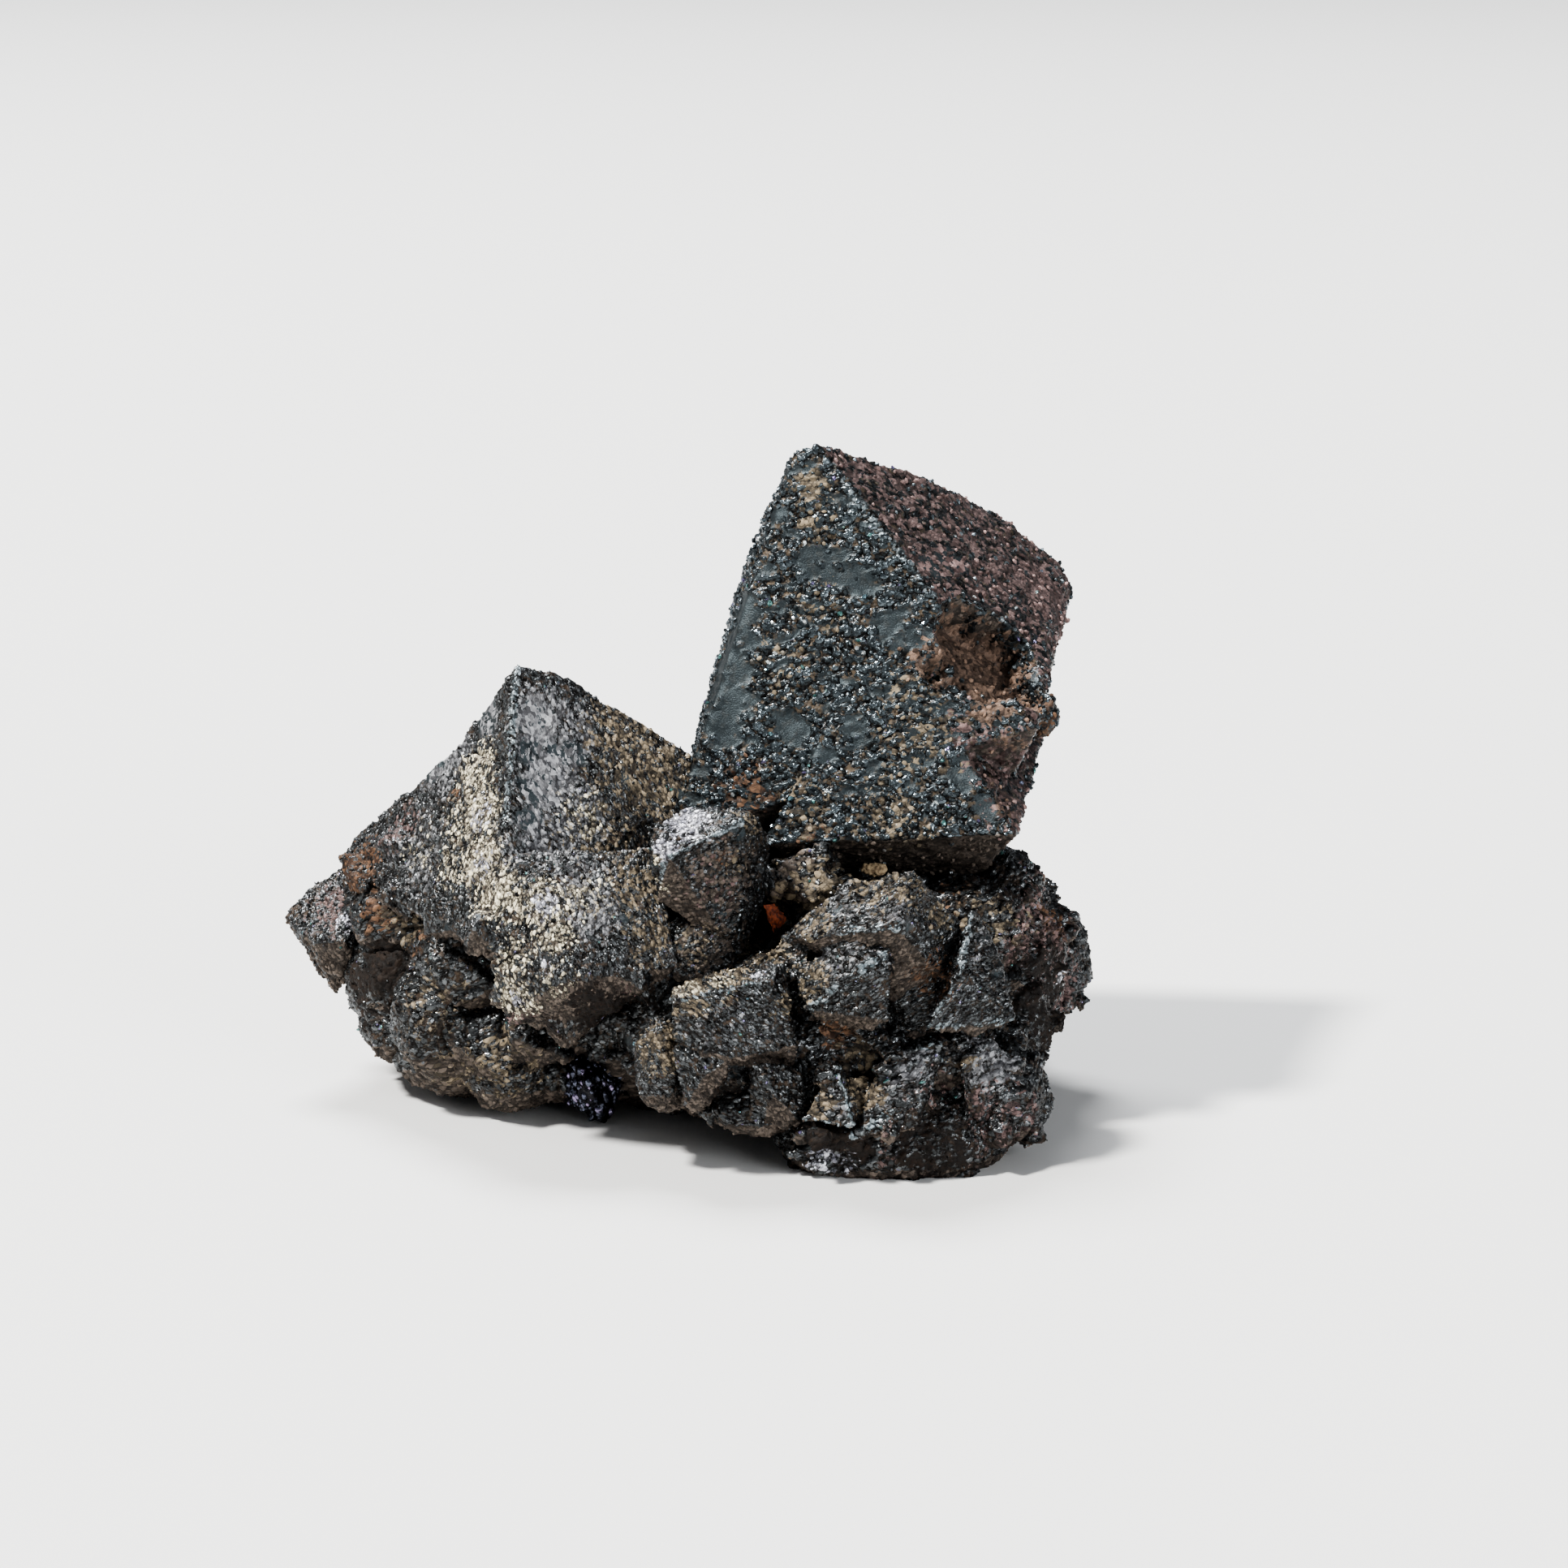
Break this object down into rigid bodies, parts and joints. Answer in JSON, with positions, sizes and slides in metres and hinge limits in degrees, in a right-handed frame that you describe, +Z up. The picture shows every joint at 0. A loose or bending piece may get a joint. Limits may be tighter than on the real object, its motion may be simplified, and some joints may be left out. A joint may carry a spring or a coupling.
{
  "type": "martite mineral specimen",
  "caption": "Cluster of dull metallic octahedral martite crystals grown together on a crumbly iron-oxide matrix; a display specimen that stands on its own flattened underside.",
  "frame": {"origin": "middle of the bounding box's footprint, on the surface that the specimen stands on", "axes": "+Z up, +X to the right of the specimen's display side, -Y towards the viewer of that side"},
  "size_m": [0.056, 0.04, 0.045],
  "materials": {
    "hematite": "slate-grey metallic grains over smooth bare faces, with red-brown, ochre and cream oxide dust",
    "orange_oxide": "earthy, rough",
    "clay": "earthy, dull"
  },
  "bodies": {
    "root": {"crystal_cluster": "hematite", "orange_chip": "orange_oxide", "clay_nodule": "clay"}
  },
  "joints": []
}
